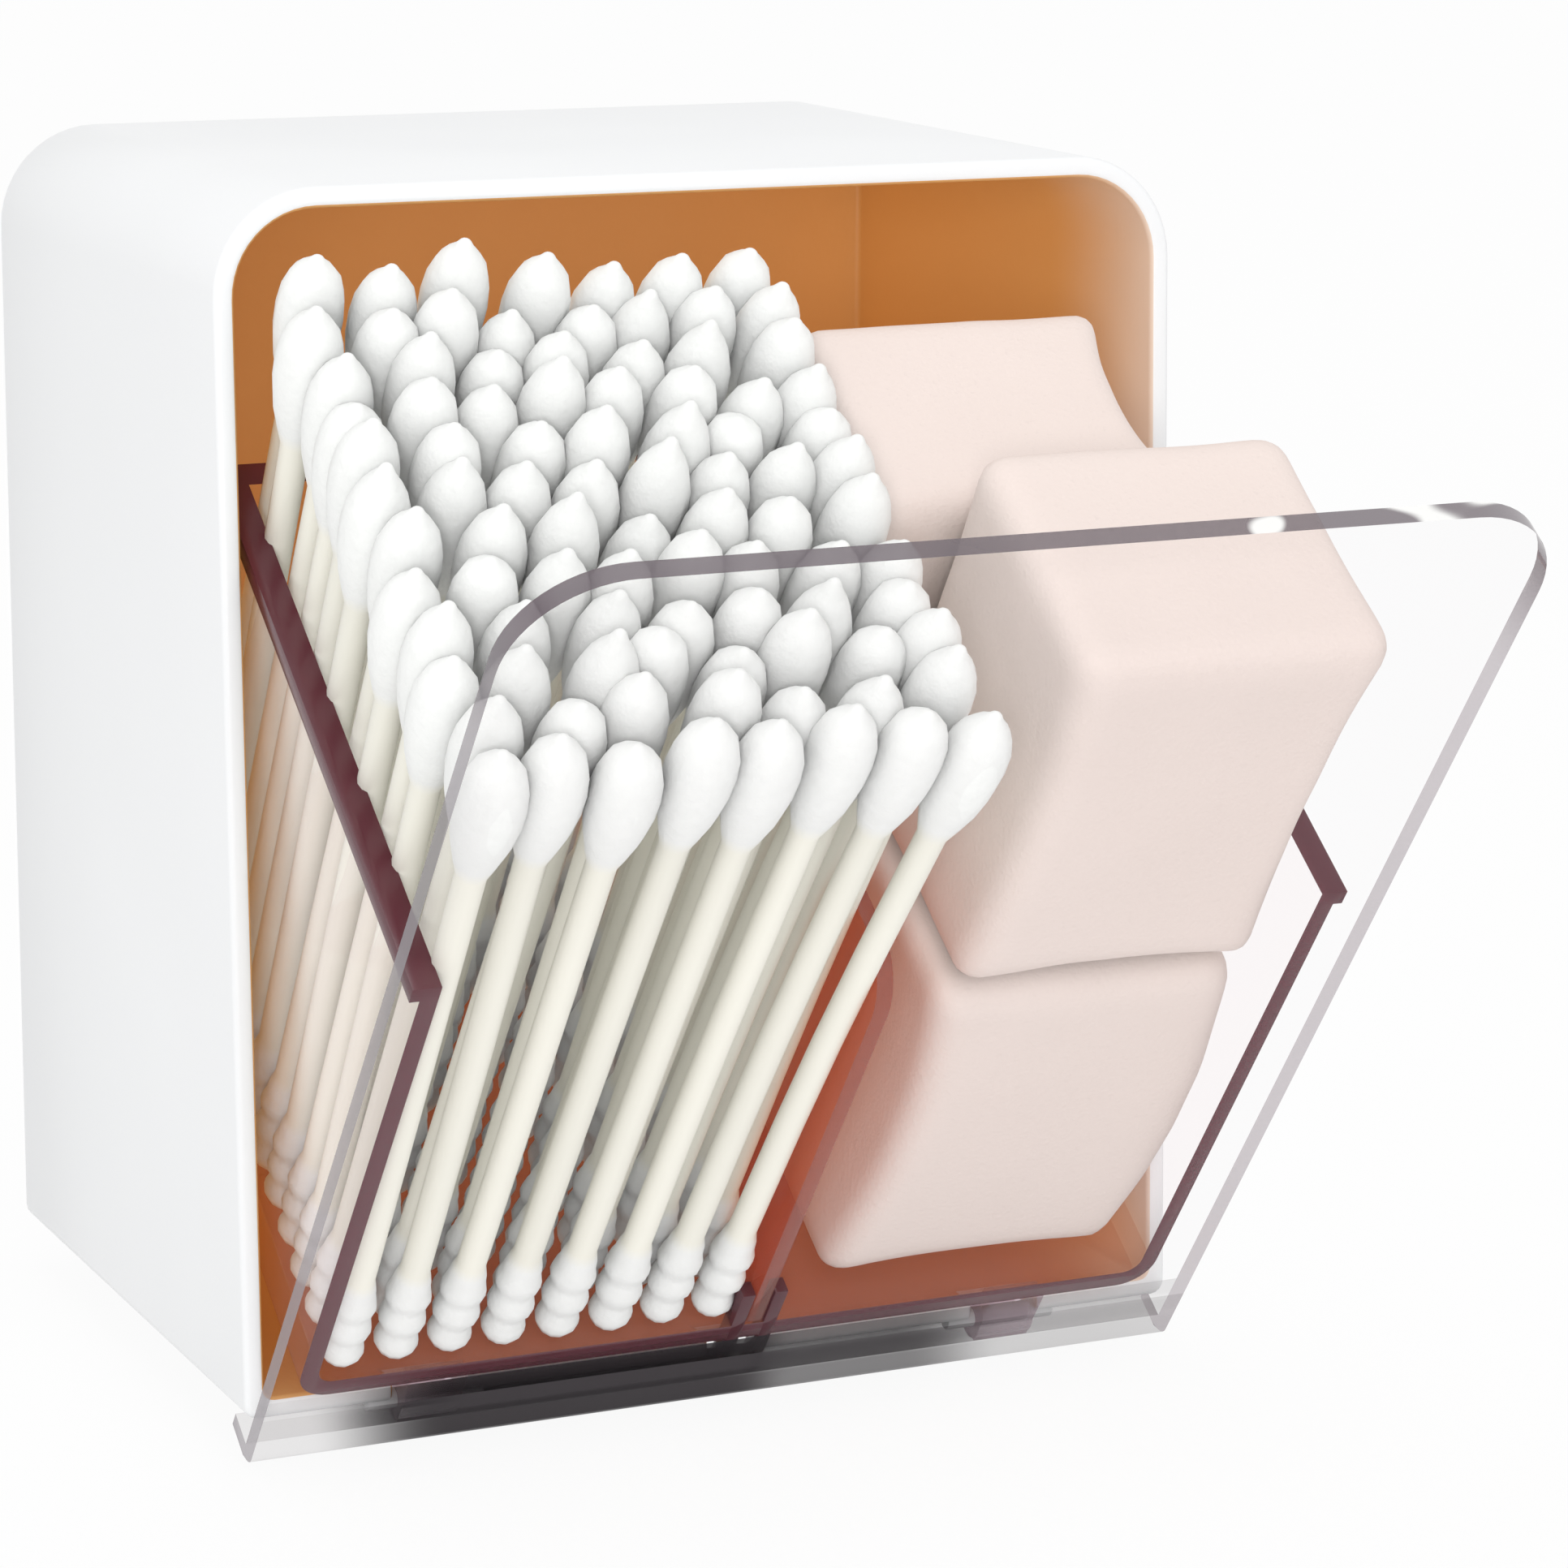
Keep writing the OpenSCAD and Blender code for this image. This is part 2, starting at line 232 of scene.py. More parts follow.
class SwabSizes(bpy.types.PropertyGroup):
    """Sizes of the cotton swabs and how they stand in the bin."""

    length: length("Length", "Length of a swab", 73 * MM)
    stick: length("Stick", "Radius of the paper stick", 1.2 * MM)
    bud: length("Bud", "Largest radius of the pointed bud", 2.7 * MM)
    beads: length("Beads", "Largest radius of the beaded bud", 1.96 * MM)
    point: length("Point", "Length of the pointed bud", 14.0 * MM)
    bead: length("Bead", "Length of the beaded bud", 10.5 * MM)
    rows: IntProperty(name="Rows", description="Rows from front to back", default=12)
    columns: IntProperty(name="Columns", description="Swabs in the fuller rows", default=8)
    foot_left: length("Foot left", "Foot of the leftmost swabs", -34.3 * MM)
    foot_right: length("Foot right", "Foot of the rightmost swabs", -2.2 * MM)
    tip_left: length("Tip left", "Tip of the leftmost swabs", -36.6 * MM)
    tip_right: length("Tip right", "Tip of the rightmost swabs", 2.0 * MM)
    foot_front: length("Foot front", "Foot of the front row", 0.65 * MM)
    foot_back: length("Foot back", "Foot of the rear row", 44.3 * MM)
    tip_front: length("Tip front", "Tip of the front row", 1.4 * MM)
    tip_back: length("Tip back", "Tip of the rear row", 51.2 * MM)
    sway: length("Sway", "How far the tips stray from their row", 1.5 * MM)
    unevenness: FloatProperty(
        name="Unevenness", description="Spread of the swabs' lengths", default=0.03, subtype="FACTOR"
    )


class SpongeSizes(bpy.types.PropertyGroup):
    """Sizes of the makeup sponges, which lie in two stacks of two."""

    front_height: length("Front height", "Height of the front sponges", 37 * MM)
    front_left: length("Front left", "Left side of the front sponges", 8.85 * MM)
    front_right: length("Front right", "Right side of the front sponges", 36.65 * MM)
    front_near: length("Front near", "Front of the front sponges", 0.95 * MM)
    front_far: length("Front far", "Back of the front sponges", 24.95 * MM)
    rear_height: length("Rear height", "Height of the rear sponges", 33 * MM)
    rear_left: length("Rear left", "Left side of the rear sponges", 4.05 * MM)
    rear_right: length("Rear right", "Right side of the rear sponges", 32.2 * MM)
    rear_near: length("Rear near", "Front of the rear sponges", 26.35 * MM)
    rear_far: length("Rear far", "Back of the rear sponges", 47.85 * MM)
    gap: length("Gap", "Gap under each sponge", 0.15 * MM)
    edge: length("Edge", "Rounding of the edges", 2.6 * MM)
    waist: length("Waist", "Hollow of the left and right sides", 1.6 * MM)
    bow: length("Bow", "How far the low front sponge bows to the right", 1.2 * MM)
    arch: length("Arch", "Hollow under the sponges", 1.1 * MM)


class BoxFinish(bpy.types.PropertyGroup):
    """Colours of the box and of what it holds."""

    shell: colour("Shell", "White of the case", 243, 244, 245)
    inside: colour("Inside", "Orange of the case's inside", 226, 168, 104)
    clear: colour("Clear", "Tint of the clear plastic", 250, 244, 247)
    burgundy: colour("Burgundy", "Clear plastic where it is seen edge on", 92, 42, 52)
    smoke: colour("Smoke", "Cut edges of the front panel", 92, 80, 88)
    divider: colour("Divider", "Tint of the divider", 198, 92, 70)
    cotton: colour("Cotton", "Cotton of the swabs", 248, 249, 247)
    paper: colour("Paper", "Paper sticks of the swabs", 250, 248, 236)
    sponge: colour("Sponge", "Foam of the sponges", 238, 223, 216)


class Signal:
    """One output of a material's nodes, on which a sum or a product adds its Math node."""

    def __init__(self, finish, socket):
        self.finish = finish
        self.socket = socket

    def __add__(self, other):
        return self.finish.maths("ADD", self, other)

    def __radd__(self, other):
        return self.finish.maths("ADD", other, self)

    def __sub__(self, other):
        return self.finish.maths("SUBTRACT", self, other)

    def __rsub__(self, other):
        return self.finish.maths("SUBTRACT", other, self)

    def __mul__(self, other):
        return self.finish.maths("MULTIPLY", self, other)

    def __rmul__(self, other):
        return self.finish.maths("MULTIPLY", other, self)

    def minimum(self, other):
        return self.finish.maths("MINIMUM", self, other)

    def between(self, low, high):
        """0 below low, 1 above high and smooth from one to the other."""
        return self.finish.node(
            "ShaderNodeMapRange",
            {"interpolation_type": "SMOOTHSTEP"},
            {"Value": self, "From Min": low, "From Max": high, "To Min": 0.0, "To Max": 1.0},
            "Result",
        )


class Finish:
    """A node material that is written as expressions."""

    def __init__(self, name):
        self.material = bpy.data.materials.new(name)
        self.material.use_nodes = True
        self.nodes = self.material.node_tree.nodes
        self.links = self.material.node_tree.links
        self.nodes.clear()
        self.output = self.nodes.new("ShaderNodeOutputMaterial")

    def node(self, kind, settings=None, values=None, output=0):
        """Adds a node, makes its settings, fills its sockets and returns one output."""
        made = self.nodes.new(kind)
        for key, value in (settings or {}).items():
            setattr(made, key, value)
        for key, value in (values or {}).items():
            if isinstance(value, Signal):
                self.links.new(value.socket, made.inputs[key])
            elif value is not None:
                made.inputs[key].default_value = value
        return Signal(self, made.outputs[output])

    def maths(self, operation, first, second):
        return self.node("ShaderNodeMath", {"operation": operation}, {0: first, 1: second})

    def place(self):
        return self.node("ShaderNodeTexCoord", output="Object")

    def axes(self):
        """X, Y and Z of the place as three signals."""
        split = self.node("ShaderNodeSeparateXYZ", values={0: self.place()})
        sockets = split.socket.node.outputs
        return [Signal(self, sockets[index]) for index in range(3)]

    def attribute(self, name):
        return self.node("ShaderNodeAttribute", {"attribute_name": name}, output="Fac")

    def grain(self, scale, detail=2.0, roughness=0.5, place=None):
        values = {"Vector": place or self.place(), "Scale": scale}
        values |= {"Detail": detail, "Roughness": roughness}
        return self.node("ShaderNodeTexNoise", values=values, output="Fac")

    def mix(self, share, first, second):
        settings = {"data_type": "RGBA"}
        return self.node("ShaderNodeMix", settings, {0: share, 6: first, 7: second}, 2)

    def bump(self, height, strength, distance):
        values = {"Height": height, "Strength": strength, "Distance": distance}
        return self.node("ShaderNodeBump", values=values)

    def body(self, values):
        return self.node("ShaderNodeBsdfPrincipled", values=values)

    def blend(self, share, first, second):
        return self.node("ShaderNodeMixShader", values={0: share, 1: first, 2: second})

    def slant(self):
        """0 where the face is seen straight on, rising late to 1 where it is seen edge on."""
        facing = self.node("ShaderNodeLayerWeight", values={"Blend": 0.5}, output="Facing")
        return self.maths("POWER", facing, 4.0)

    def clear(self, share, through, body):
        """What is behind shows through, with a share of the surface's own shader over it."""
        glass = self.node("ShaderNodeBsdfTransparent", values={"Color": through})
        return self.surface(self.blend(share, glass, body))

    def up_panel(self, lean):
        """Signals across the tipped-out panel and up it from the hinge."""
        across, back, up = self.axes()
        tilt = OPEN_ANGLE - lean
        return across, (up - HINGE.z) * math.cos(tilt) - (back - HINGE.y) * math.sin(tilt)

    def surface(self, shader):
        self.links.new(shader.socket, self.output.inputs["Surface"])
        return self.material


def shade(tone, factor):
    """A colour that is lighter or darker by a factor."""
    return (*[min(1.0, value * factor) for value in tone[:3]], 1.0)


def satin_white(look):
    """Moulded white plastic with a faint waviness and a satin sheen."""
    finish = Finish("satin_white")
    cloud = finish.grain(40.0, 1.0)
    tone = finish.mix(cloud, look.shell[:], shade(look.shell, 0.97))
    normal = finish.bump(finish.grain(2600.0, 0.0), 0.06, 0.0002)
    rough = 0.30 + 0.10 * cloud
    values = {"Base Color": tone, "Roughness": rough, "Normal": normal}
    return finish.surface(finish.body(values))


def warm_inside(look):
    """Matt orange of the case's inside, with painted light that pales the right wall towards the rim."""
    finish = Finish("warm_inside")
    across, back = finish.axes()[:2]
    # Painted light: the right inner wall is mixed towards white near the rim
    near_rim = 1 - (back - case_low.y).between(0.0, 22 * MM)
    on_right = across.between(30 * MM, 41 * MM)
    pale = near_rim * on_right
    cloud = finish.grain(35.0, 1.0)
    orange = finish.mix(cloud, look.inside[:], shade(look.inside, 0.93))
    tone = finish.mix(pale * 0.55, orange, look.shell[:])
    normal = finish.bump(finish.grain(1900.0, 0.0), 0.08, 0.0002)
    values = {"Base Color": tone, "Roughness": 0.42 + 0.1 * cloud, "Normal": normal}
    return finish.surface(finish.body(values))


def clear_plastic(name, tint, through, veil, gloss=0.3, rough=0.04):
    """Clear plastic: it lets what is behind it through, with a veil and more gloss at a slant."""
    finish = Finish(name)
    body = finish.body({"Base Color": tint, "Roughness": rough, "Specular IOR Level": 0.6})
    share = (veil + finish.slant() * gloss).minimum(1.0)
    return finish.clear(share, through, body)


def panel_foot(look, case):
    """The foot of the clear panel, darkened with painted shade where it is seen against the lip and the
    hinge.
    """
    finish = Finish("panel_foot")
    across, height = finish.up_panel(case.lean)
    # Painted shade of the lip and the hinge: strongest in the middle, fading out towards both ends, with
    # a paler streak across it
    left = across.between(-36 * MM, -23 * MM)
    right = 1 - across.between(0 * MM, 6 * MM) * 0.45 - across.between(17 * MM, 26 * MM) * 0.42
    streak = height.between(0.9 * MM, 1.3 * MM) * (1 - height.between(1.7 * MM, 2.3 * MM))
    shadow = left * right * (0.86 - 0.3 * streak)
    share = (shadow + 0.08 + finish.slant() * 0.16).minimum(1.0)
    painted_shade_tone = shade(look.smoke, 0.26)
    body = finish.body({"Base Color": painted_shade_tone, "Roughness": 0.2, "Specular IOR Level": 0.15})
    return finish.clear(share, FOOT_THROUGH, body)


def cotton_swab(look):
    """Fluffy cotton at both ends and ivory paper between them, told apart by an attribute."""
    finish = Finish("cotton_swab")
    cotton = finish.attribute("cotton")
    own = finish.attribute("own")
    place = finish.place()
    fluff = finish.grain(1100.0, 2.0, 0.7, place)
    white = finish.mix(fluff, look.cotton[:], shade(look.cotton, 0.93))
    paper = finish.mix(own, look.paper[:], shade(look.paper, 0.92))
    tone = finish.mix(cotton, paper, white)
    normal = finish.bump(fluff * (0.2 + 0.8 * cotton), 0.3, 0.0003)
    values = {
        "Base Color": tone,
        "Roughness": 0.62 + 0.3 * cotton,
        "Normal": normal,
    }
    return finish.surface(finish.body(values))


def soft_foam(look):
    """Fine matt foam with small pores and a faint mottle."""
    finish = Finish("soft_foam")
    place = finish.place()
    mottle = finish.grain(55.0, 1.0, 0.5, place)
    pores = finish.grain(2300.0, 1.0, 0.6, place)
    tone = finish.mix(mottle, look.sponge[:], shade(look.sponge, 0.95))
    tone = finish.mix(pores.between(0.62, 0.8) * 0.2, tone, shade(look.sponge, 0.8))
    normal = finish.bump(pores, 0.18, 0.0003)
    values = {
        "Base Color": tone,
        "Roughness": 0.86 + 0.1 * mottle,
        "Normal": normal,
    }
    return finish.surface(finish.body(values))


def deselect():
    """Leaves edit mode and selects nothing."""
    if bpy.context.object and bpy.context.object.mode != "OBJECT":
        bpy.ops.object.mode_set(mode="OBJECT")
    bpy.ops.object.select_all(action="DESELECT")


def choose(piece):
    """Selects one piece and makes it active."""
    deselect()
    bpy.context.view_layer.objects.active = piece
    piece.select_set(True)


def block(name, low, high):
    """A box from its low to its high corner."""
    deselect()
    low, high = Vector(low), Vector(high)
    bpy.ops.mesh.primitive_cube_add(size=1, location=(low + high) / 2, scale=high - low)
    piece = bpy.context.object
    piece.name = piece.data.name = name
    bpy.ops.object.transform_apply(location=True, rotation=True, scale=True)
    return piece


def rod(name, centre, radius, width, sides=32):
    """A cylinder along X."""
    deselect()
    turn = (0, math.pi / 2, 0)
    bpy.ops.mesh.primitive_cylinder_add(
        vertices=sides, radius=radius, depth=width, location=centre, rotation=turn
    )
    piece = bpy.context.object
    piece.name = piece.data.name = name
    bpy.ops.object.transform_apply(location=True, rotation=True, scale=True)
    return piece


def bevel_edges(piece, test, radius, segments):
    """Rounds the edges whose middle and direction pass the test."""
    choose(piece)
    bpy.ops.object.mode_set(mode="EDIT")
    bpy.ops.mesh.select_mode(type="EDGE")
    bpy.ops.mesh.select_all(action="DESELECT")
    bpy.ops.object.mode_set(mode="OBJECT")
    corners = piece.data.vertices
    for edge in piece.data.edges:
        first, second = (corners[index].co for index in edge.vertices)
        edge.select = test((first + second) / 2, (second - first).normalized())
    bpy.ops.object.mode_set(mode="EDIT")
    bpy.ops.mesh.bevel(offset=radius, segments=segments, affect="EDGES", profile=0.5)
    bpy.ops.object.mode_set(mode="OBJECT")


def join_shape(piece, other, operation):
    """Adds or cuts another shape, which is used up."""
    modifier = piece.modifiers.new("shape", "BOOLEAN")
    modifier.operation = operation
    modifier.solver = "EXACT"
    modifier.object = other
    choose(piece)
    bpy.ops.object.modifier_apply(modifier=modifier.name)
    bpy.data.objects.remove(other)


def join_loose(pieces):
    """Makes one piece of several that only touch."""
    deselect()
    for piece in pieces:
        piece.select_set(True)
    bpy.context.view_layer.objects.active = pieces[0]
    bpy.ops.object.join()
    return bpy.context.object


def soften(piece, width, segments=2):
    """Rounds every sharp edge a little and smooths the shading."""
    modifier = piece.modifiers.new("edges", "BEVEL")
    modifier.width = width
    modifier.segments = segments
    modifier.limit_method = "ANGLE"
    modifier.angle_limit = math.radians(35)
    choose(piece)
    bpy.ops.object.modifier_apply(modifier=modifier.name)
    bpy.ops.object.shade_smooth_by_angle(angle=math.radians(40))


def clean(piece):
    """Merges doubled corners and turns the faces outward."""
    choose(piece)
    bpy.ops.object.mode_set(mode="EDIT")
    bpy.ops.mesh.select_all(action="SELECT")
    bpy.ops.mesh.remove_doubles(threshold=0.000002)
    bpy.ops.mesh.normals_make_consistent(inside=False)
    bpy.ops.object.mode_set(mode="OBJECT")


def dress(piece, materials, pick=None):
    """Gives the piece its materials; pick(centre, normal) gives the slot of a face."""
    piece.data.materials.clear()
    for material in materials:
        piece.data.materials.append(material)
    for face in piece.data.polygons:
        face.material_index = pick(face.center, face.normal) if pick else 0


def tip_out(piece, case):
    """Moves a piece from the bin's frame to its place in the tipped-out bin."""
    piece.data.transform(Matrix.Translation(HINGE) @ Matrix.Rotation(OPEN_ANGLE - case.lean, 4, "X"))
    piece.data.update()


def ride(piece, body, node):
    """Puts a finished piece on its body and the CAD node that it stands for."""
    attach(piece, body)
    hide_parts(node)


def rounded_case(name, size, low_y, high_y, inset, top_radius, foot_radius):
    """A box along Y with its lengthwise edges rounded."""
    half = size.width / 2 - inset
    tall = size.height / 2 - inset
    shape = block(name, (-half, low_y, -tall), (half, high_y, tall))
    bevel_edges(shape, lambda at, way: abs(way.y) > 0.9 and at.z > 0, top_radius, 12)
    bevel_edges(shape, lambda at, way: abs(way.y) > 0.9 and at.z < -tall / 2, foot_radius, 4)
    return shape


class BOX_OT_case(bpy.types.Operator):
    """Adds the case: a white moulded box, orange inside, with notches and hinge pins in its floor"""

    bl_idname = "cotton_box.case"
    bl_label = "Case"

    def execute(self, context):
        size = context.scene.box_case
        bin_size = context.scene.box_bin
        look = context.scene.box_finish
        foot = -size.depth
        base = -size.height / 2
        shell = rounded_case("case", size, foot - 0.006, 0.0, 0.0, size.corner, size.foot)
        hollow = rounded_case(
            "hollow", size, foot - 0.02, -size.wall, size.wall, size.corner - size.wall, size.foot_inside
        )
        join_shape(shell, hollow, "DIFFERENCE")
        front = block("front", (-0.1, foot - 0.05, base - 0.02), (0.1, foot, -base + 0.05))
        turn = Matrix.Translation((0, foot, base)) @ Matrix.Rotation(-size.lean, 4, "X")
        front.data.transform(turn @ Matrix.Translation((0, -foot, -base)))
        join_shape(shell, front, "DIFFERENCE")
        notches = [(-bin_size.lug_offset, size.notch_width), (bin_size.lug_offset, size.notch_width)]
        notches.append((context.scene.box_divider.place, size.web_notch))
        for place, width in notches:
            low = (place - width / 2, foot - 0.01, base - 0.005)
            high = (place + width / 2, foot + size.notch_depth, base + size.wall + 0.001)
            join_shape(shell, block("notch", low, high), "DIFFERENCE")
        clean(shell)
        soften(shell, size.edge, 3)

        def slot(at, normal):
            inward = normal.x * at.x + normal.z * at.z < 0
            rear = normal.y < -0.3 and at.y > -size.wall - 1.0 * MM
            return 1 if rear or (inward and abs(normal.y) < 0.8) else 0

        dress(shell, [satin_white(look), warm_inside(look)], slot)
        pins = []
        for way in (-1, 1):
            place = (way * bin_size.lug_offset, HINGE.y, HINGE.z)
            pin = rod("pin", place, bin_size.pin_radius, size.notch_width + 4 * MM)
            dress(pin, [satin_white(look)])
            soften(pin, 0.1 * MM)
            pins.append(pin)
        case = join_loose([shell, *pins])
        ride(case, "case", "housing")
        return {"FINISHED"}


class BOX_OT_panel(bpy.types.Operator):
    """Adds the clear front panel with its return lip and its two snap lugs"""

    bl_idname = "cotton_box.panel"
    bl_label = "Front panel"

    def execute(self, context):
        size = context.scene.box_bin
        look = context.scene.box_finish
        half = size.panel_width / 2
        bottom = -size.lip_drop - size.lip_wall
        low = (-half, size.front, bottom)
        panel = block("panel", low, (half, size.panel_back, size.panel_top))

        def upper_corner(at, way):
            return abs(way.y) > 0.9 and at.z > size.panel_top / 2

        bevel_edges(panel, upper_corner, size.panel_corner, 14)
        lip = block("lip", low, (half, size.front + size.lip_depth, -size.lip_drop))
        join_shape(panel, lip, "UNION")
        clean(panel)

        def lower_edge(at, way):
            return abs(way.x) > 0.9 and at.y < size.front + HAIR and at.z < bottom + HAIR

        bevel_edges(panel, lower_edge, size.lip_radius, 8)
        soften(panel, size.polish)
        choose(panel)
        bpy.ops.object.mode_set(mode="EDIT")
        bpy.ops.mesh.select_all(action="SELECT")
        foot_top = size.lift - 5 * HAIR
        bpy.ops.mesh.bisect(plane_co=(0, 0, foot_top), plane_no=(0, 0, 1))
        bpy.ops.object.mode_set(mode="OBJECT")
        clear = clear_plastic("clear_panel", look.clear[:], PANEL_THROUGH, 0.0, 0.16)
        foot = panel_foot(look, context.scene.box_case)
        edge = self.lit_edge(look, context.scene.box_case)

        def slot(at, normal):
            if abs(normal.y) > 0.85 or (at.z < size.lip_radius and abs(normal.x) < 0.5):
                return 0 if at.z > foot_top else 2
            return 1

        dress(panel, [clear, edge, foot], slot)
        lugs = [self.lug(size, way * size.lug_offset) for way in (-1, 1)]
        for lug in lugs:
            soften(lug, 0.12 * MM)
            dress(lug, [clear_plastic("clear_lug", look.clear[:], LUG_THROUGH, 0.22)])
        piece = join_loose([panel, *lugs])
        tip_out(piece, context.scene.box_case)
        ride(piece, "bin", "tilt_bin")
        return {"FINISHED"}

    def lit_edge(self, look, case):
        """The polished edge: smoky with painted glints along the top, pale down the sides."""
        finish = Finish("panel_edge")
        across, height = finish.up_panel(case.lean)
        top = height.between(80 * MM, 96 * MM)
        right = across.between(34 * MM, 41 * MM) * (1 - top)
        # Painted glints: bright spots scattered along the right part of the top edge
        spots = finish.grain(190.0, 0.0).between(0.56, 0.62)
        glints = spots * across.between(8 * MM, 12 * MM) * top
        tone = finish.mix(top, PALE_EDGE, look.smoke[:])
        tone = finish.mix(glints, tone, PAINTED_GLINT)
        body = finish.body({"Base Color": tone, "Roughness": 0.06})
        share = 0.62 + top * 0.22 + glints * 0.14 - right * 0.42
        return finish.clear(share, EDGE_THROUGH, body)

    def lug(self, size, place):
        """A block behind the panel's foot with a bore that snaps over the hinge pin."""
        half = size.lug_width / 2
        low = (place - half, size.panel_back + HAIR, -size.lip_drop + HAIR)
        lug = block("lug", low, (place + half, 0.0, size.lift - HAIR))
        join_shape(lug, rod("round", (place, 0, 0), size.lug_radius, size.lug_width, 40), "UNION")
        bore = size.pin_radius + size.pin_gap
        join_shape(lug, rod("bore", (place, 0, 0), bore, 2 * size.lug_width, 40), "DIFFERENCE")
        mouth = size.lug_mouth / 2
        opening = block("mouth", (place - 2 * half, 0, -mouth), (place + 2 * half, 4 * MM, mouth))
        join_shape(lug, opening, "DIFFERENCE")
        clean(lug)
        return lug


class BOX_OT_trough(bpy.types.Operator):
    """Adds the clear bin behind the panel with its rim and the ribs of the divider"""

    bl_idname = "cotton_box.trough"
    bl_label = "Bin"

    def execute(self, context):
        size = context.scene.box_bin
        plate = context.scene.box_divider
        look = context.scene.box_finish
        front = size.panel_back + 3 * HAIR
        half = size.half

        def lower_corner(at, way):
            return abs(way.y) > 0.9 and at.z < size.top / 2

        trough = block("trough", (-half, front, size.lift), (half, size.back, size.top))
        bevel_edges(trough, lower_corner, size.corner, 8)
        reach = half + size.rim_overhang
        rim_low = (-reach, front, size.top - size.rim_height)
        rim = block("rim", rim_low, (reach, size.back + size.rim_overhang, size.top))
        join_shape(trough, rim, "UNION")
        inside = half - size.wall
        low = (-inside, front - PAST, size.floor_top)
        hollow = block("hollow", low, (inside, size.back - size.wall, size.top + PAST))
        bevel_edges(hollow, lower_corner, size.corner - size.wall, 6)
        join_shape(trough, hollow, "DIFFERENCE")
        clean(trough)
        soften(trough, size.polish)
        clear = clear_plastic("clear_bin", look.clear[:], BIN_THROUGH, 0.0, 0.2)
        floor = self.floor_plastic()
        glow = shade(look.burgundy, 1.5)
        edge = clear_plastic("bin_edge", look.burgundy[:], glow, 0.93, 0.3, 0.25)

        def slot(at, normal):
            if normal.y < -0.7 and at.y < front + size.polish:
                return 2
            if at.z > size.top - size.rim_height - size.polish and abs(normal.z) > 0.6:
                return 2
            if at.z > size.top - size.rim_height and (abs(at.x) > half or at.y > size.back):
                return 2
            return 1 if at.z < size.floor_top + 0.5 * MM else 0

        dress(trough, [clear, floor, edge], slot)
        ribs = [self.rib(size, plate, way, near) for way in (-1, 1) for near in (True, False)]
        for rib in ribs:
            soften(rib, 0.1 * MM)
            dress(rib, [clear_plastic("rib", look.burgundy[:], shade(look.burgundy, 1.8), 0.75)])
        piece = join_loose([trough, *ribs])
        tip_out(piece, context.scene.box_case)
        ride(piece, "bin", "tilt_bin")
        return {"FINISHED"}

    def floor_plastic(self):
        """Clear floor painted with the orange that it gathers from the case, less so at both ends."""
        finish = Finish("bin_floor")
        across = finish.axes()[0]
        # Painted orange gathered from the case, strongest in the middle of the floor
        red = across.between(-40 * MM, -26 * MM) * (1 - across.between(24 * MM, 37 * MM))
        body = finish.body({"Base Color": PAINTED_CASE_ORANGE, "Roughness": 0.04, "Specular IOR Level": 0.6})
        share = 0.04 + red * 0.28 + finish.slant() * 0.2
        return finish.clear(share, FLOOR_THROUGH, body)

    def rib(self, size, plate, way, near):
        """One of the four ribs that hold the divider upright."""
        side = plate.place + way * (plate.wall / 2 + plate.gap + plate.rib_wall / 2)
        low_x, high_x = side - plate.rib_wall / 2, side + plate.rib_wall / 2
        top = size.floor_top + plate.rib_height
        if near:
            start = size.panel_back + 2 * HAIR
            low = (low_x, start, -size.lip_drop)
            return block("rib", low, (high_x, start + plate.rib_depth, top))
        end = size.back - size.wall - HAIR
        low = (low_x, end - plate.rib_depth, size.floor_top + HAIR)
        return block("rib", low, (high_x, end, top))


class BOX_OT_divider(bpy.types.Operator):
    """Adds the tinted plate that parts the bin"""

    bl_idname = "cotton_box.divider"
    bl_label = "Divider"

    def execute(self, context):
        size = context.scene.box_bin
        plate = context.scene.box_divider
        look = context.scene.box_finish
        base = size.floor_top + plate.gap
        low = (plate.place - plate.wall / 2, size.panel_back + plate.gap, base)
        high = (plate.place + plate.wall / 2, size.back - size.wall - plate.gap, base + plate.height)
        piece = block("divider", low, high)

        def upper_corner(at, way):
            return abs(way.x) > 0.9 and at.z > base + plate.height / 2

        bevel_edges(piece, upper_corner, plate.corner, 8)
        soften(piece, 0.2 * MM)
        broad = clear_plastic("divider_tint", look.divider[:], DIVIDER_THROUGH, 0.18)
        edge = clear_plastic("divider_edge", DIVIDER_EDGE, DIVIDER_EDGE_THROUGH, 0.42)
        dress(piece, [broad, edge], lambda at, normal: 0 if abs(normal.x) > 0.8 else 1)
        tip_out(piece, context.scene.box_case)
        ride(piece, "bin", "divider")
        return {"FINISHED"}


